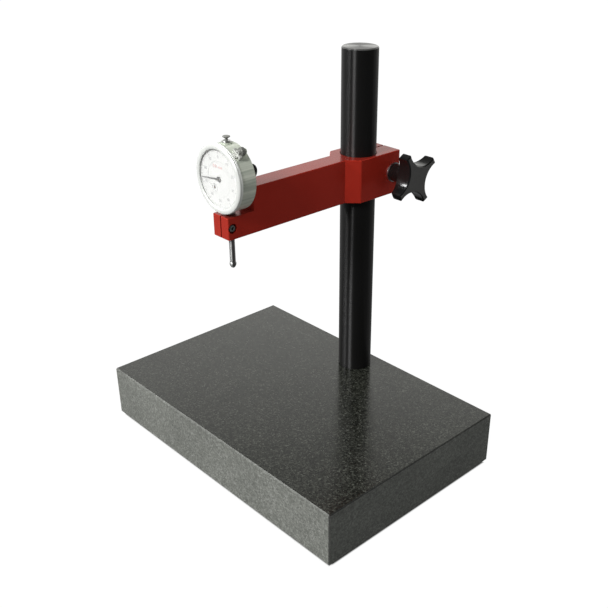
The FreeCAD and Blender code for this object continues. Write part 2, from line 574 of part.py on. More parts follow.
ha = math.radians(V["hand_dir"])
final(on_face(cut(fuse(solid(blade(1.7, 0.5, V["hand_len"], 0.0, ha, 9.0, 9.15)), cyl(2.2, 8.95, 9.28, "z", 0, 0)),
                  cyl(ta, 8, 10, "z", 0, 0))), "main_hand")
final(on_face(cut(fuse(solid(blade(0.7, 0.25, 3.0, 0.0, math.radians(90), 8.64, 8.8, BX, BY)), cyl(1.0, 8.6, 8.84, "z", BX, BY)),
                  cyl(ta, 7, 10, "z", BX, BY))), "counter_hand")

# ---------------------------------------------------------------- spindle
p = math.pi * MR
zp = V["dial_z"] + AY
z0 = zp - V["travel"] - 3.2 * p
n0, n1 = -21, 6
ka, kd, thin = 0.85, 1.2, 0.022
xt, xr = -(V["rack_line"] + ka * MR), -(V["rack_line"] - kd * MR)
tt, tr = p / 4 - thin - ka * MR * math.tan(math.radians(20)), p / 4 - thin + kd * MR * math.tan(math.radians(20))
prof = []
for k in range(n0, n1):
    zc_ = zp + p / 2 + k * p
    prof += [(xr, zc_ - tr), (xt, zc_ - tt), (xt, zc_ + tt), (xr, zc_ + tr)]
pts = [(-4.0, prof[0][1])] + prof + [(-4.0, prof[-1][1])]
wv = Part.makePolygon([Vector(x, stem_y.v - 4, z) for x, z in pts + pts[:1]])
gaps = solid(Part.Face(wv).extrude(Vector(0, 8, 0)))
gp_z = S("dial_z") - 9.0
final(cut(fuse(cyl(S("spin_rad"), S("spin_low"), S("spin_top") - 0.3, "z", 0, stem_y),
               cone(S("spin_rad"), S("spin_rad") - 0.3, S("spin_top") - 0.3, S("spin_top"), "z", 0, stem_y)),
          gaps,
          cyl(0.6, -4, 4, "x", stem_y, gp_z),
          cyl(1.2, S("spin_low") - 1, S("spin_low") + 5.0, "z", 0, stem_y)), "spindle")
tl, tr_ = S("tip_low"), S("tip_rad")
tip = turned("tip_form", [(0, tl), (0.7, tl), (1.5, tl + 0.5), (2.25, tl + 1.5), (tr_ - 0.12, tl + 2.8), (tr_, tl + 4.2),
                          (2.2, S("spin_low")), (0, S("spin_low"))])
base_at(tip, 0, stem_y, 0)
final(fuse(tip, cyl(1.2, S("spin_low") - 1, S("spin_low") + 4.8, "z", 0, stem_y)), "contact_point")
ct, st = S("cap_top"), S("spin_top")
cap = turned("cap_form", [(0, st), (1.1, st), (1.1, ct - 2.0), (S("cap_rad") - 0.15, ct - 0.8), (S("cap_rad"), ct - 0.65),
                          (S("cap_rad"), ct - 0.25), (S("cap_rad") - 0.25, ct), (0, ct)])
base_at(cap, 0, stem_y, 0)
final(cap, "spindle_cap")
final(cyl(0.6, -1.6, 8.7, "x", stem_y, gp_z), "guide_pin")

# return spring: hangs from the guide pin, held by a post low in the case
spx = 7.4
zlow, ztop = V["dial_z"] - 20.0, V["dial_z"] - 10.0
helix = Part.makeHelix(0.8, ztop - zlow - 0.5, 1.15)
prof_c = Part.Wire([Part.makeCircle(0.19, Vector(1.15, 0, 0), Vector(0, 1, 0))])
coil = Part.Wire(helix.Edges).makePipeShell([prof_c], True, True)
coil.translate(Vector(spx, stem_y.v, zlow + 0.25))
final(solid(coil), "return_spring")
final(on_face(fuse(cyl(0.9, -1.4, 1.6, "z", spx, -21.4), cyl(0.45, -1.0, 1.0, "z", spx, -20.9))), "spring_post")

# ---------------------------------------------------------------- write
doc.recompute()
bad = []
for o in doc.Objects:
    if any(s in ("Invalid", "Error") for s in o.State):
        bad.append((o.Name, o.Label, o.State))
for name, o in OUT:
    if o.Shape.isNull() or not o.Shape.isValid():
        bad.append((name, "shape"))
if bad:
    raise RuntimeError("not valid: %s" % bad)
for name, o in OUT:
    o.Shape.exportStep("parts/%s.step" % name)
    b = o.Shape.BoundBox
    print("%-16s solids %d faces %4d vol %10.2f  x %.2f..%.2f y %.2f..%.2f z %.2f..%.2f" % (
        name, len(o.Shape.Solids), len(o.Shape.Faces), o.Shape.Volume, b.XMin, b.XMax, b.YMin, b.YMax, b.ZMin, b.ZMax))
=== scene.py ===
import bpy
import json
import math
from mathutils import Vector, Matrix


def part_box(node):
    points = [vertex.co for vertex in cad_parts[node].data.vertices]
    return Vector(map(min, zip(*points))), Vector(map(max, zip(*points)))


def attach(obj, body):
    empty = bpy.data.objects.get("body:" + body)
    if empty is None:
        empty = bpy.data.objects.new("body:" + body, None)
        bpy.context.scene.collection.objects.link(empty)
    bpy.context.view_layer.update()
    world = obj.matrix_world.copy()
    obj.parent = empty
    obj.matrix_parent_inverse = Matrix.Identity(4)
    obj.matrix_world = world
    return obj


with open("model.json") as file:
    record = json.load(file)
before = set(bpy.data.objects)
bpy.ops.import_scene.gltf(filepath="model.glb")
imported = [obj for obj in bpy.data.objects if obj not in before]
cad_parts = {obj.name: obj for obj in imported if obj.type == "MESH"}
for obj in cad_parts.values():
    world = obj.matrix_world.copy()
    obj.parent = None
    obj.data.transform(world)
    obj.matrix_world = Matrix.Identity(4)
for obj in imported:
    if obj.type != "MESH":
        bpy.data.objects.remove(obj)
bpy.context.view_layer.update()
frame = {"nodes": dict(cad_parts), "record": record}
nodes = frame["nodes"]

# Comparator stand, metres, z = 0 under the feet, the dial looks towards -Y.
# All placing below is read from the solids' own boxes.


def mid(name):
    a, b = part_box(name)
    return (a + b) / 2


# ---------------------------------------------------------------- shader helper
class Mat:
    """A node material with one main shader and short calls for the usual nodes."""

    def __init__(self, name):
        self.m = bpy.data.materials.new(name)
        self.m.use_nodes = True
        self.t = self.m.node_tree
        self.t.nodes.clear()
        self.out = self.t.nodes.new("ShaderNodeOutputMaterial")
        self.p = self.t.nodes.new("ShaderNodeBsdfPrincipled")
        self.t.links.new(self.p.outputs[0], self.out.inputs[0])
        self.tc = self.t.nodes.new("ShaderNodeTexCoord")
        self.pos = self.tc.outputs["Object"]

    def put(self, socket, value):
        if isinstance(value, bpy.types.NodeSocket):
            self.t.links.new(value, socket)
        elif hasattr(socket.default_value, "__len__"):
            v = tuple(value) if hasattr(value, "__len__") else (value,) * 3
            socket.default_value = v + (1.0,) if len(v) < len(socket.default_value) else v
        else:
            socket.default_value = value

    def set(self, **kw):
        for k, v in kw.items():
            self.put(self.p.inputs[k.replace("_", " ")], v)
        return self

    def node(self, kind, **props):
        n = self.t.nodes.new(kind)
        for k, v in props.items():
            setattr(n, k, v)
        return n

    def math(self, op, a, b=0.5, c=0.5, clamp=False):
        n = self.node("ShaderNodeMath", operation=op, use_clamp=clamp)
        for s, v in zip(n.inputs, (a, b, c)):
            self.put(s, v)
        return n.outputs[0]

    def vmath(self, op, a, b=(0, 0, 0)):
        n = self.node("ShaderNodeVectorMath", operation=op)
        self.put(n.inputs[0], a)
        self.put(n.inputs[1], b)
        return n.outputs[0]

    def split(self, v):
        n = self.node("ShaderNodeSeparateXYZ")
        self.put(n.inputs[0], v)
        return n.outputs

    def join(self, x, y, z):
        n = self.node("ShaderNodeCombineXYZ")
        for s, v in zip(n.inputs, (x, y, z)):
            self.put(s, v)
        return n.outputs[0]

    def mix(self, f, a, b, kind="MIX"):
        n = self.node("ShaderNodeMix", data_type="RGBA", blend_type=kind)
        self.put(n.inputs[0], f)
        self.put(n.inputs[6], a)
        self.put(n.inputs[7], b)
        return n.outputs[2]

    def noise(self, scale, detail=4.0, rough=0.5, vec=None, distort=0.0):
        n = self.node("ShaderNodeTexNoise")
        self.put(n.inputs["Vector"], self.pos if vec is None else vec)
        n.inputs["Scale"].default_value = scale
        n.inputs["Detail"].default_value = detail
        n.inputs["Roughness"].default_value = rough
        n.inputs["Distortion"].default_value = distort
        return n.outputs["Fac"] if "Fac" in n.outputs else n.outputs[0]

    def cells(self, scale, vec=None, feature="F1", rand=1.0):
        n = self.node("ShaderNodeTexVoronoi", feature=feature)
        self.put(n.inputs["Vector"], self.pos if vec is None else vec)
        n.inputs["Scale"].default_value = scale
        n.inputs["Randomness"].default_value = rand
        return n

    def ramp(self, f, stops, kind="LINEAR"):
        n = self.node("ShaderNodeValToRGB")
        self.put(n.inputs[0], f)
        r = n.color_ramp
        r.interpolation = kind
        while len(r.elements) < len(stops):
            r.elements.new(0.5)
        for e, (p, c) in zip(r.elements, stops):
            e.position = p
            e.color = (tuple(c) if hasattr(c, "__len__") else (c,) * 3) + (1.0,)
        return n.outputs[0]

    def span(self, f, a0, a1, b0, b1):
        n = self.node("ShaderNodeMapRange")
        for s, v in zip(n.inputs, (f, a0, a1, b0, b1)):
            self.put(s, v)
        return n.outputs[0]

    def bump(self, height, strength, dist, normal=None):
        n = self.node("ShaderNodeBump")
        n.inputs["Strength"].default_value = strength
        n.inputs["Distance"].default_value = dist
        self.put(n.inputs["Height"], height)
        if normal is not None:
            self.put(n.inputs["Normal"], normal)
        return n.outputs[0]

    def stretched(self, sx, sy, sz):
        return self.vmath("MULTIPLY", self.pos, (sx, sy, sz))


def radial(m, axis):
    n = m.node("ShaderNodeTangent", direction_type="RADIAL", axis=axis)
    return n.outputs[0]


# ---------------------------------------------------------------- materials
def granite():
    m = Mat("granite")
    nrm = m.split(m.tc.outputs["Normal"])
    up = nrm[2]
    top = m.span(up, 0.9, 0.97, 0.0, 1.0)
    wob = m.vmath("ADD", m.pos, m.vmath("MULTIPLY", m.node_vec_noise(420.0), (0.0011, 0.0011, 0.0011)))
    grain = m.cells(760.0, wob)
    pick = m.split(grain.outputs["Color"])[0]
    tone = m.split(grain.outputs["Color"])[1]
    fine = m.cells(1500.0, wob)
    pick2 = m.split(fine.outputs["Color"])[2]
    base = m.ramp(tone, [(0.0, (0.0035, 0.0038, 0.003)), (0.5, (0.0095, 0.0102, 0.008)), (0.85, (0.02, 0.0214, 0.017)), (1.0, (0.032, 0.034, 0.028))])
    fleck = m.ramp(tone, [(0.0, (0.022, 0.0235, 0.019)), (1.0, (0.056, 0.059, 0.05))])
    rare = m.span(pick, 0.88, 0.9, 0.0, 1.0)
    colour = m.mix(rare, base, fleck)
    small = m.span(pick2, 0.94, 0.95, 0.0, 0.7)
    colour = m.mix(small, colour, (0.045, 0.0475, 0.04))
    black = m.span(m.split(fine.outputs["Color"])[0], 0.86, 0.88, 0.0, 0.7)
    colour = m.mix(black, colour, (0.007, 0.0078, 0.007))
    cloud = m.span(m.noise(14.0, 5.0, 0.6), 0.3, 0.7, 0.88, 1.14)
    colour = m.mix(1.0, colour, m.join(cloud, cloud, cloud), "MULTIPLY")
    # the sides are only ground, so their broken surface is lighter, browner and flatter in tone
    ground = m.ramp(tone, [(0.0, (0.088, 0.092, 0.082)), (0.5, (0.124, 0.129, 0.116)), (1.0, (0.168, 0.174, 0.158))])
    sides = m.mix(m.math("MULTIPLY", rare, 0.5), ground, (0.25, 0.257, 0.24))
    # the faces turned to +X are painted darker and cooler: painted shade on the side away from the lamps
    sides = m.mix(m.span(nrm[0], 0.5, 0.9, 0.0, 0.32), sides, (0.024, 0.032, 0.032))
    sides = m.mix(m.math("MULTIPLY", black, 0.5), sides, (0.05, 0.052, 0.046))
    # the edge break on the right was polished with the top
    broken = m.math("MULTIPLY", m.math("MULTIPLY", m.span(up, 0.3, 0.5, 0.0, 1.0), m.span(up, 0.8, 0.9, 1.0, 0.0)), m.span(nrm[0], 0.3, 0.5, 0.0, 0.9))
    sides = m.mix(broken, sides, (0.008, 0.0085, 0.0075))
    front = m.math("MULTIPLY", m.math("MULTIPLY", m.span(up, 0.3, 0.5, 0.0, 1.0), m.span(up, 0.8, 0.9, 1.0, 0.0)), m.span(nrm[1], -0.5, -0.3, 0.3, 0.0))
    sides = m.mix(front, sides, (0.02, 0.021, 0.019))
    sides = m.mix(1.0, sides, m.join(cloud, cloud, cloud), "MULTIPLY")
    corner = m.span(m.math("ABSOLUTE", m.math("MULTIPLY", nrm[0], nrm[1])), 0.25, 0.4, 0.0, 0.75)
    sides = m.mix(corner, sides, (0.03, 0.03, 0.028))
    m.set(Base_Color=m.mix(top, sides, colour))
    smear = m.span(m.noise(38.0, 4.0, 0.6), 0.35, 0.7, 0.0, 0.04)
    r_top = m.math("ADD", m.math("ADD", m.span(tone, 0.0, 1.0, 0.15, 0.2), smear), m.math("MULTIPLY", rare, 0.04))
    r_side = m.math("ADD", m.span(pick, 0.0, 1.0, 0.5, 0.66), smear)
    mixr = m.node("ShaderNodeMix", data_type="FLOAT")
    m.put(mixr.inputs[0], top)
    m.put(mixr.inputs[2], r_side)
    m.put(mixr.inputs[3], r_top)
    m.set(Roughness=mixr.outputs[0], IOR=1.54)
    pit = m.math("MULTIPLY", m.math("SUBTRACT", 1.0, top), m.noise(3000.0, 3.0, 0.6))
    n1 = m.bump(pit, 0.3, 0.0001)
    n2 = m.bump(m.noise(1100.0, 2.0, 0.5), 0.015, 0.00002, n1)
    m.set(Normal=n2)
    return m.m


def node_vec_noise(self, scale):
    n = self.node("ShaderNodeTexNoise")
    self.put(n.inputs["Vector"], self.pos)
    n.inputs["Scale"].default_value = scale
    n.inputs["Detail"].default_value = 2.0
    c = n.outputs["Color"]
    return self.vmath("SUBTRACT", c, (0.5, 0.5, 0.5))


Mat.node_vec_noise = node_vec_noise


def rubber():
    m = Mat("rubber")
    n = m.noise(900.0, 4.0, 0.6)
    m.set(Base_Color=m.ramp(n, [(0.3, 0.012), (0.7, 0.024)]), Roughness=m.span(n, 0.2, 0.8, 0.7, 0.9), Specular_IOR_Level=0.35,
          Normal=m.bump(n, 0.3, 0.0001))
    return m.m


def column_black():
    m = Mat("column_enamel")
    lines = m.noise(1.0, 6.0, 0.65, m.stretched(60.0, 60.0, 2600.0))
    wipe = m.noise(1.0, 4.0, 0.6, m.stretched(55.0, 55.0, 14.0))
    up = m.split(m.tc.outputs["Normal"])[2]
    end = m.span(up, 0.6, 0.9, 0.0, 1.0)
    face = m.mix(wipe, (0.0045, 0.0045, 0.0045), (0.007, 0.0068, 0.0068))
    # the end is bare turned steel under a thin finish
    spin = m.vmath("SUBTRACT", m.pos, (0.0, mid("post").y, 0.0))
    s = m.split(spin)
    r = m.math("SQRT", m.math("ADD", m.math("MULTIPLY", s[0], s[0]), m.math("MULTIPLY", s[1], s[1])))
    rings = m.noise(1.0, 3.0, 0.6, m.join(m.math("MULTIPLY", r, 2600.0), 0.0, 0.0))
    rough = m.math("ADD", m.span(wipe, 0.3, 0.7, 0.29, 0.33), m.math("MULTIPLY", lines, 0.05))
    m.set(Base_Color=m.mix(end, face, m.mix(rings, (0.12, 0.12, 0.118), (0.2, 0.2, 0.196))), Roughness=rough,
          Specular_IOR_Level=0.38, Anisotropic=0.98, Anisotropic_Rotation=0.25, Tangent=radial(m, "Z"),
          Normal=m.bump(m.mix(end, lines, rings), 0.05, 0.00002))
    return m.m


def arm_red():
    m = Mat("arm_red")
    up = m.split(m.tc.outputs["Normal"])[2]
    along = m.noise(1.0, 5.0, 0.65, m.stretched(120.0, 14.0, 1900.0))
    cast = m.noise(26.0, 4.0, 0.6)
    dye_and_top_shade = m.mix(cast, (0.36, 0.0215, 0.0122), (0.435, 0.0295, 0.016))
    worn = m.span(m.noise(300.0, 6.0, 0.7), 0.66, 0.74, 0.0, 0.1)
    dye_and_top_shade = m.mix(worn, dye_and_top_shade, (0.44, 0.05, 0.04))
    # the upper faces are painted darker than the sides: painted shade against the light falling on the top
    dye_and_top_shade = m.mix(m.span(up, 0.8, 0.95, 0.0, 0.55), dye_and_top_shade, (0.10, 0.012, 0.009))
    m.set(Base_Color=dye_and_top_shade, Metallic=0.3,
          Roughness=m.math("ADD", m.span(cast, 0.3, 0.7, 0.17, 0.23), m.math("MULTIPLY", along, 0.07)),
          Specular_IOR_Level=0.27, IOR=1.5, Normal=m.bump(along, 0.08, 0.00003))
    return m.m


def knob_plastic():
    m = Mat("knob_plastic")
    n = m.noise(2400.0, 3.0, 0.6)
    wide = m.noise(70.0, 4.0, 0.6)
    # the flat front is moulded with a fine dull grain, the rest is polished
    front = m.span(m.split(m.tc.outputs["Normal"])[0], 0.93, 0.98, 0.0, 1.0)
    dull = m.mix(m.noise(500.0, 4.0, 0.7), (0.05, 0.05, 0.049), (0.085, 0.085, 0.083))
    rough = m.node("ShaderNodeMix", data_type="FLOAT")
    m.put(rough.inputs[0], front)
    m.put(rough.inputs[2], m.math("ADD", m.span(wide, 0.3, 0.7, 0.12, 0.17), m.math("MULTIPLY", n, 0.03)))
    m.put(rough.inputs[3], m.math("ADD", m.span(wide, 0.3, 0.7, 0.36, 0.46), m.math("MULTIPLY", n, 0.08)))
    m.set(Base_Color=m.mix(front, m.mix(wide, (0.004, 0.004, 0.004), (0.008, 0.008, 0.008)), dull),
          Roughness=rough.outputs[0], IOR=1.56,
          Normal=m.bump(n, 0.1, 0.00003))
    return m.m


def steel(name, colour, rough, axis=None, lines=(60.0, 60.0, 2200.0), aniso=0.0, strength=0.1, spread=0.08, metal=1.0):
    m = Mat(name)
    g = m.noise(1.0, 5.0, 0.65, m.stretched(*lines))
    w = m.noise(90.0, 4.0, 0.6)
    a = tuple(c * 0.82 for c in colour)
    b = tuple(min(1.0, c * 1.12) for c in colour)
    m.set(Base_Color=m.mix(m.math("ADD", m.math("MULTIPLY", g, 0.6), m.math("MULTIPLY", w, 0.4)), a, b), Metallic=metal,
          Roughness=m.math("ADD", m.span(w, 0.3, 0.7, rough, rough + spread), m.math("MULTIPLY", g, 0.08)),
          Normal=m.bump(g, strength, 0.00003))
    if aniso:
        m.set(Anisotropic=aniso, Anisotropic_Rotation=0.25, Tangent=radial(m, axis))
    return m.m


def oxide(name, colour=(0.013, 0.013, 0.0135), rough=0.34):
    m = Mat(name)
    n = m.noise(700.0, 5.0, 0.65)
    w = m.noise(120.0, 4.0, 0.6)
    m.set(Base_Color=m.mix(n, tuple(c * 0.8 for c in colour), tuple(c * 1.6 for c in colour)), Metallic=0.35,
          Roughness=m.math("ADD", m.span(w, 0.3, 0.7, rough, rough + 0.12), m.math("MULTIPLY", n, 0.08)),
          Normal=m.bump(n, 0.12, 0.00003))
    return m.m


def case_grey():
    m = Mat("case_grey")
    c = mid("crystal")
    s = m.split(m.vmath("SUBTRACT", m.pos, (0.0, 0.0, c.z)))
    # fine turning marks run round the case: fast along Y, slow round it
    turn = m.noise(1.0, 5.0, 0.65, m.stretched(50.0, 2400.0, 50.0))
    w = m.noise(45.0, 4.0, 0.6)
    # bands that run along Y and change round the case: in the bump they are drawn flats, in the colour they are a
    # painted reflection of light and dark streaks
    flats_and_painted_reflection = m.noise(1.0, 4.0, 0.6, m.stretched(260.0, 6.0, 260.0))
    flat = m.span(m.math("ABSOLUTE", m.split(m.tc.outputs["Normal"])[1]), 0.6, 0.9, 1.0, 0.12)
    flats_and_painted_reflection = m.math("ADD", 0.5, m.math("MULTIPLY", m.math("SUBTRACT", flats_and_painted_reflection, 0.5), flat))
    # the base colour follows the bands: painted reflection streaks round the case
    m.set(Base_Color=m.mix(m.span(flats_and_painted_reflection, 0.34, 0.66, 0.0, 1.0), (0.38, 0.43, 0.365), (0.80, 0.84, 0.73)), Metallic=0.4,
          Roughness=m.math("ADD", m.span(w, 0.3, 0.7, 0.3, 0.38), m.math("MULTIPLY", turn, 0.08)),
          Anisotropic=0.6, Anisotropic_Rotation=0.25, Tangent=radial(m, "Y"),
          Normal=m.bump(flats_and_painted_reflection, 0.35, 0.0002, m.bump(turn, 0.1, 0.00003)))
    return m.m


def dial_white():
    m = Mat("dial_face")
    n = m.noise(1500.0, 3.0, 0.6)
    w = m.noise(60.0, 3.0, 0.5)
    m.set(Base_Color=m.mix(w, (0.70, 0.702, 0.69), (0.745, 0.747, 0.735)), Roughness=m.span(n, 0.2, 0.8, 0.42, 0.55),
          Normal=m.bump(n, 0.05, 0.00001))
    return m.m


def ink(name, colour):
    m = Mat(name)
    n = m.noise(2200.0, 3.0, 0.6)
    m.set(Base_Color=m.mix(n, tuple(c * 0.85 for c in colour), tuple(min(1, c * 1.15) for c in colour)), Roughness=m.span(n, 0.2, 0.8, 0.4, 0.6))
    return m.m


def window():
    m = Mat("window")
    n = m.noise(120.0, 3.0, 0.5)
    m.set(Base_Color=(0.985, 0.99, 0.985), Roughness=m.span(n, 0.3, 0.7, 0.0, 0.035), IOR=1.49, Transmission_Weight=1.0)
    clear = m.node("ShaderNodeBsdfTransparent")
    mix = m.node("ShaderNodeMixShader")
    path = m.node("ShaderNodeLightPath")
    m.t.links.new(path.outputs["Is Shadow Ray"], mix.inputs[0])
    m.t.links.new(m.p.outputs[0], mix.inputs[1])
    m.t.links.new(clear.outputs[0], mix.inputs[2])
    # light that the dial sends back out goes straight through too, so it isn't counted twice
    both = m.node("ShaderNodeMixShader")
    m.t.links.new(path.outputs["Is Diffuse Ray"], both.inputs[0])
    m.t.links.new(mix.outputs[0], both.inputs[1])
    m.t.links.new(clear.outputs[0], both.inputs[2])
    m.t.links.new(both.outputs[0], m.out.inputs[0])
    return m.m


MADE = {
    "granite": granite(),
    "rubber": rubber(),
    "column_enamel": column_black(),
    "arm_red": arm_red(),
    "knob_plastic": knob_plastic(),
    "zinc_steel": steel("zinc_steel", (0.60, 0.61, 0.62), 0.24, "X", (90.0, 90.0, 1400.0)),
    "black_screw": oxide("black_screw", (0.10, 0.112, 0.108), 0.22),
    "case_grey": case_grey(),
    "stem_steel": steel("stem_steel", (0.66, 0.665, 0.65), 0.34, "Z", (60.0, 60.0, 2600.0), 0.85),
    "bright_steel": steel("bright_steel", (0.62, 0.63, 0.62), 0.33, "Z", (60.0, 60.0, 2800.0), 0.85),
    "bezel_metal": steel("bezel_metal", (0.84, 0.86, 0.83), 0.3, "Y", (50.0, 2600.0, 50.0), 0.5, 0.06, 0.08, 0.36),
    "lug_black": oxide("lug_black"),
    "tab_plate": steel("tab_plate", (0.62, 0.63, 0.60), 0.4, None, (200.0, 900.0, 200.0), 0.0, 0.03, 0.08, 0.6),
    "cap_black": oxide("cap_black", (0.17, 0.173, 0.16), 0.36),
    "window": window(),
    "dial_face": dial_white(),
    "hand_metal": oxide("hand_metal", (0.2, 0.2, 0.2), 0.42),
    "brass": steel("brass", (0.62, 0.44, 0.18), 0.24, None, (300.0, 300.0, 300.0)),
    "plate_metal": steel("plate_metal", (0.62, 0.62, 0.61), 0.3, None, (30.0, 300.0, 1600.0)),
    "spring_steel": steel("spring_steel", (0.22, 0.225, 0.24), 0.25, None, (900.0, 900.0, 900.0)),
}
slot_of = {s["node"]: s["material_slot"] for s in frame["record"]["subparts"]}
for name, ob in nodes.items():
    mat = MADE[slot_of[name]]
    ob.data.materials.clear()
    ob.data.materials.append(mat)

INK = ink("dial_ink", (0.38, 0.38, 0.385))
RED = ink("dial_ink_red", (0.6, 0.27, 0.255))


# ---------------------------------------------------------------- printed dial
face_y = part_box("scale_ring")[0].y
cz = mid("scale_ring").z
LIFT, THICK = 0.00001, 0.00004


def at_dial(x, z, h=0.0):
    """A point on the dial: x to the right, z up from its centre, h above its face."""
    return Vector((x, face_y - LIFT - h, cz + z))


def new_mesh(name, verts, faces, mat, body):
    me = bpy.data.meshes.new(name)
    me.from_pydata(verts, [], faces)
    me.update()
    me.materials.append(mat)
    ob = bpy.data.objects.new(name, me)
    bpy.context.collection.objects.link(ob)
    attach(ob, body)
    return ob


def slab(poly, verts, faces):
    """Adds a closed flat prism over a convex outline on the dial, given anticlockwise as read."""
    n, k = len(poly), len(verts)
    verts += [at_dial(x, z, THICK) for x, z in poly] + [at_dial(x, z) for x, z in poly]
    faces.append(tuple(k + i for i in range(n)))
    faces.append(tuple(k + n + i for i in reversed(range(n))))
    for i in range(n):
        j = (i + 1) % n
        faces.append((k + i, k + n + i, k + n + j, k + j))


def tick(angle, r0, r1, width, verts, faces, ox=0.0, oz=0.0):
    s, c = math.sin(angle), math.cos(angle)
    h = width / 2
    slab([(ox + r0 * s - h * c, oz + r0 * c + h * s), (ox + r0 * s + h * c, oz + r0 * c - h * s),
          (ox + r1 * s + h * c, oz + r1 * c - h * s), (ox + r1 * s - h * c, oz + r1 * c + h * s)], verts, faces)


def ring(r0, r1, steps, verts, faces, ox=0.0, oz=0.0):
    for i in range(steps):
        a, b = 2 * math.pi * i / steps, 2 * math.pi * (i + 1) / steps
        slab([(ox + r0 * math.sin(a), oz + r0 * math.cos(a)), (ox + r0 * math.sin(b), oz + r0 * math.cos(b)),
              (ox + r1 * math.sin(b), oz + r1 * math.cos(b)), (ox + r1 * math.sin(a), oz + r1 * math.cos(a))], verts, faces)


MM = 0.001
v, f = [], []
for i in range(100):
    a = 2 * math.pi * i / 100
    if i % 10 == 0:
        tick(a, 20.1 * MM, 23.0 * MM, 0.34 * MM, v, f)
    elif i % 5 == 0:
        tick(a, 21.1 * MM, 23.0 * MM, 0.24 * MM, v, f)
    else:
        tick(a, 21.9 * MM, 23.0 * MM, 0.15 * MM, v, f)
new_mesh("dial_graduations", v, f, INK, "bezel")

BX, BZ = 10.1 * MM * math.cos(math.radians(233.0)), 10.1 * MM * math.sin(math.radians(233.0))
v, f = [], []
for i in range(10):
    tick(2 * math.pi * i / 10, (2.55 if i % 5 else 2.3) * MM, 3.15 * MM, (0.14 if i % 5 else 0.2) * MM, v, f, BX, BZ)
ring(3.15 * MM, 3.27 * MM, 48, v, f, BX, BZ)
new_mesh("counter_graduations", v, f, INK, "indicator")


def words(name, items, mat, body):
    """Figures as thin flat solids on the dial: items are (text, x, z, height)."""
    made = []
    for text, x, z, size in items:
        cu = bpy.data.curves.new(name + "_line", "FONT")
        cu.body = text
        cu.size = size
        cu.align_x = "CENTER"
        cu.align_y = "CENTER"
        cu.extrude = THICK / 2
        cu.resolution_u = 3
        tmp = bpy.data.objects.new(name + "_tmp", cu)
        bpy.context.collection.objects.link(tmp)
        bpy.context.view_layer.update()
        me = bpy.data.meshes.new_from_object(tmp.evaluated_get(bpy.context.evaluated_depsgraph_get()))
        bpy.data.objects.remove(tmp)
        bpy.data.curves.remove(cu)
        place = Matrix.Translation(at_dial(x, z, THICK / 2)) @ Matrix.Rotation(math.pi / 2, 4, "X")
        me.transform(place)
        made.append(me)
    verts, faces = [], []
    for me in made:
        k = len(verts)
        verts += [tuple(p.co) for p in me.vertices]
        faces += [tuple(k + i for i in p.vertices) for p in me.polygons]
        bpy.data.meshes.remove(me)
    return new_mesh(name, verts, faces, mat, body)


items = []
for i in range(10):
    a = 2 * math.pi * i / 10
    items.append((str(i * 10), 17.5 * MM * math.sin(a), 17.4 * MM * math.cos(a), 3.4 * MM))
words("dial_figures", items, INK, "bezel")
words("dial_unit", [("0.01 mm", -1.1 * MM, 9.6 * MM, 3.3 * MM)], RED, "indicator")

# ---------------------------------------------------------------- stage
bpy.ops.mesh.primitive_plane_add(size=60.0, location=(0, 0, 0))
floor = bpy.context.object
floor.name = "floor"
fm = Mat("floor_paper")
fn = fm.noise(6.0, 3.0, 0.5)
# The paper is washed out to white by its own glow where the camera sees it, except right under the plate, where it is
# painted near black: a painted contact shadow. Seen in reflections on the parts it is a painted glow that falls off to
# dark in front, as of a dark room, and diffuse bounces see a duller, darker copy of the paper.
geo = fm.node("ShaderNodeNewGeometry")
place = fm.split(geo.outputs["Position"])
lo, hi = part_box("granite_base")
cx, cy = (lo.x + hi.x) / 2, (lo.y + hi.y) / 2
hx, hy = (hi.x - lo.x) / 2, (hi.y - lo.y) / 2
out_x = fm.math("SUBTRACT", fm.math("ABSOLUTE", fm.math("SUBTRACT", place[0], cx)), hx)
out_y = fm.math("SUBTRACT", fm.math("ABSOLUTE", fm.math("SUBTRACT", place[1], cy)), hy)
away = fm.math("MAXIMUM", out_x, out_y)
# painted contact shadow: the paper's colour is near black just inside the plate's outline, and the glow is left off
# there
fm.set(Base_Color=fm.mix(fm.span(away, -0.0034, -0.0022, 0.0, 1.0), (0.03, 0.03, 0.03), fm.mix(fn, (0.86, 0.86, 0.86), (0.88, 0.88, 0.88))),
       Roughness=0.9, Specular_IOR_Level=0.1)
glow = fm.node("ShaderNodeEmission")
glow.inputs[0].default_value = (1, 1, 1, 1)
glow.inputs[1].default_value = 1.02
wash = fm.node("ShaderNodeMixShader")
fm.put(wash.inputs[0], fm.span(away, -0.0026, -0.0012, 0.0, 0.97))
fm.t.links.new(fm.p.outputs[0], wash.inputs[1])
fm.t.links.new(glow.outputs[0], wash.inputs[2])
dull = fm.node("ShaderNodeBsdfDiffuse")
dull.inputs[0].default_value = (0.25, 0.25, 0.252, 1)
# painted reflection: to glossy rays the paper glows, brighter behind and to the left and falling off to dark in front;
# diffuse bounces see the darker copy above
ahead = fm.math("ADD", fm.math("MULTIPLY", place[0], 0.717), fm.math("MULTIPLY", place[1], -0.697))
side = fm.math("ADD", fm.math("MULTIPLY", place[0], 0.697), fm.math("MULTIPLY", place[1], 0.717))
painted_glow_level = fm.math("MULTIPLY", fm.span(ahead, -0.15, 0.3, 1.0, 0.15), fm.span(side, -0.4, 0.3, 0.34, 0.16))
painted_reflection_glow = fm.node("ShaderNodeEmission")
fm.put(painted_reflection_glow.inputs[0], fm.join(painted_glow_level, painted_glow_level, painted_glow_level))
path = fm.node("ShaderNodeLightPath")
gloss = fm.node("ShaderNodeMixShader")
fm.t.links.new(path.outputs["Is Glossy Ray"], gloss.inputs[0])
fm.t.links.new(dull.outputs[0], gloss.inputs[1])
fm.t.links.new(painted_reflection_glow.outputs[0], gloss.inputs[2])
pick = fm.node("ShaderNodeMixShader")
fm.t.links.new(path.outputs["Is Camera Ray"], pick.inputs[0])
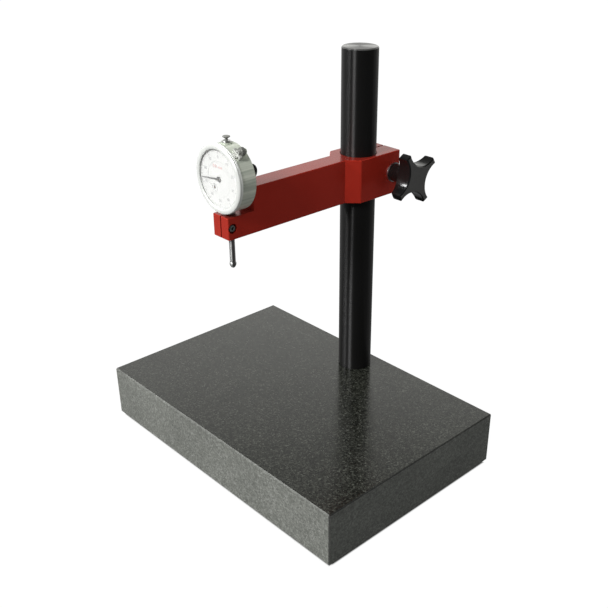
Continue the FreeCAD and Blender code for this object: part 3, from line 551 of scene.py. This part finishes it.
fm.t.links.new(gloss.outputs[0], pick.inputs[1])
fm.t.links.new(wash.outputs[0], pick.inputs[2])
fm.t.links.new(pick.outputs[0], fm.out.inputs[0])
floor.data.materials.append(fm.m)

world = bpy.data.worlds.new("studio")
bpy.context.scene.world = world
world.use_nodes = True
wt = world.node_tree
bg = wt.nodes["Background"]
bg.inputs[0].default_value = (1.0, 1.0, 0.965, 1)
# bright screens behind and to the left, a dark room on the other side
look = wt.nodes.new("ShaderNodeTexCoord")
turn = wt.nodes.new("ShaderNodeVectorMath")
turn.operation = "DOT_PRODUCT"
wt.links.new(look.outputs["Generated"], turn.inputs[0])
turn.inputs[1].default_value = (-0.717, 0.697, 0.25)
level = wt.nodes.new("ShaderNodeMapRange")
wt.links.new(turn.outputs["Value"], level.inputs[0])
sharp = wt.nodes.new("ShaderNodeMapRange")
wt.links.new(turn.outputs["Value"], sharp.inputs[0])
for i, x, y in zip((1, 2, 3, 4), (-0.6, 0.45, 0.24, 0.9), (0.2, 0.8, 0.08, 1.12)):
    level.inputs[i].default_value = x
    sharp.inputs[i].default_value = y
wpath = wt.nodes.new("ShaderNodeLightPath")
parts = wt.nodes.new("ShaderNodeSeparateXYZ")
wt.links.new(look.outputs["Generated"], parts.inputs[0])
fall = wt.nodes.new("ShaderNodeMapRange")
wt.links.new(parts.outputs[2], fall.inputs[0])
for i, x in zip((1, 2, 3, 4), (0.53, 0.65, 1.0, 0.14)):
    fall.inputs[i].default_value = x
dim = wt.nodes.new("ShaderNodeMath")
dim.operation = "MULTIPLY"
wt.links.new(sharp.outputs[0], dim.inputs[0])
wt.links.new(fall.outputs[0], dim.inputs[1])
wlevel = wt.nodes.new("ShaderNodeMix")
wlevel.data_type = "FLOAT"
wt.links.new(wpath.outputs["Is Glossy Ray"], wlevel.inputs[0])
wt.links.new(level.outputs[0], wlevel.inputs[2])
wt.links.new(dim.outputs[0], wlevel.inputs[3])
wt.links.new(wlevel.outputs[0], bg.inputs[1])
seen = wt.nodes.new("ShaderNodeBackground")
seen.inputs[0].default_value = (1, 1, 1, 1)
seen.inputs[1].default_value = 1.0
wmix = wt.nodes.new("ShaderNodeMixShader")
wt.links.new(wpath.outputs["Is Camera Ray"], wmix.inputs[0])
wt.links.new(bg.outputs[0], wmix.inputs[1])
wt.links.new(seen.outputs[0], wmix.inputs[2])
wt.links.new(wmix.outputs[0], wt.nodes["World Output"].inputs[0])


def lamp(name, az, el, width, strength, colour=(1, 1, 1)):
    """Soft far lamp seen from the stand at azimuth (0 = -Y, 90 = +X) and elevation, in degrees."""
    a, e = math.radians(az), math.radians(el)
    d = Vector((math.sin(a) * math.cos(e), -math.cos(a) * math.cos(e), math.sin(e)))
    li = bpy.data.lights.new(name, "SUN")
    li.angle = math.radians(width)
    li.energy = strength
    li.color = colour
    ob = bpy.data.objects.new(name, li)
    bpy.context.collection.objects.link(ob)
    ob.location = d * 3
    ob.rotation_mode = "QUATERNION"
    ob.rotation_quaternion = d.to_track_quat("Z", "Y")
    return ob


lamp("key", 7, 33, 15, 2.8)
lamp("fill_left", -32, 34, 14, 1.5)
lamp("edge_left", -49.5, 34, 9, 0.4)

# ---------------------------------------------------------------- camera
AZ, EL, ROLL = math.radians(45.757), math.radians(28.156), math.radians(0.427)
back = Vector((math.sin(AZ) * math.cos(EL), -math.cos(AZ) * math.cos(EL), math.sin(EL)))
right = (-back).cross(Vector((0, 0, 1))).normalized()
up = back.cross(right)
r2 = right * math.cos(ROLL) + up * math.sin(ROLL)
u2 = up * math.cos(ROLL) - right * math.sin(ROLL)
cam = bpy.data.cameras.new("view")
cam.sensor_width = 36.0
cam.lens = 870.98 / 608 * 36.0
cam.shift_x = -(336.78 - 304.0) / 608
cam.shift_y = (329.5 - 304.0) / 608
cam.clip_start, cam.clip_end = 0.05, 50.0
co = bpy.data.objects.new("view", cam)
bpy.context.collection.objects.link(co)
co.matrix_world = Matrix((
    (r2.x, u2.x, back.x, 0.52705), (r2.y, u2.y, back.y, -0.47244), (r2.z, u2.z, back.z, 0.49295), (0, 0, 0, 1)))
sc = bpy.context.scene
sc.camera = co
sc.view_settings.view_transform = "Standard"
sc.view_settings.look = "None"
sc.view_settings.exposure = 0.0
sc.view_settings.gamma = 1.0
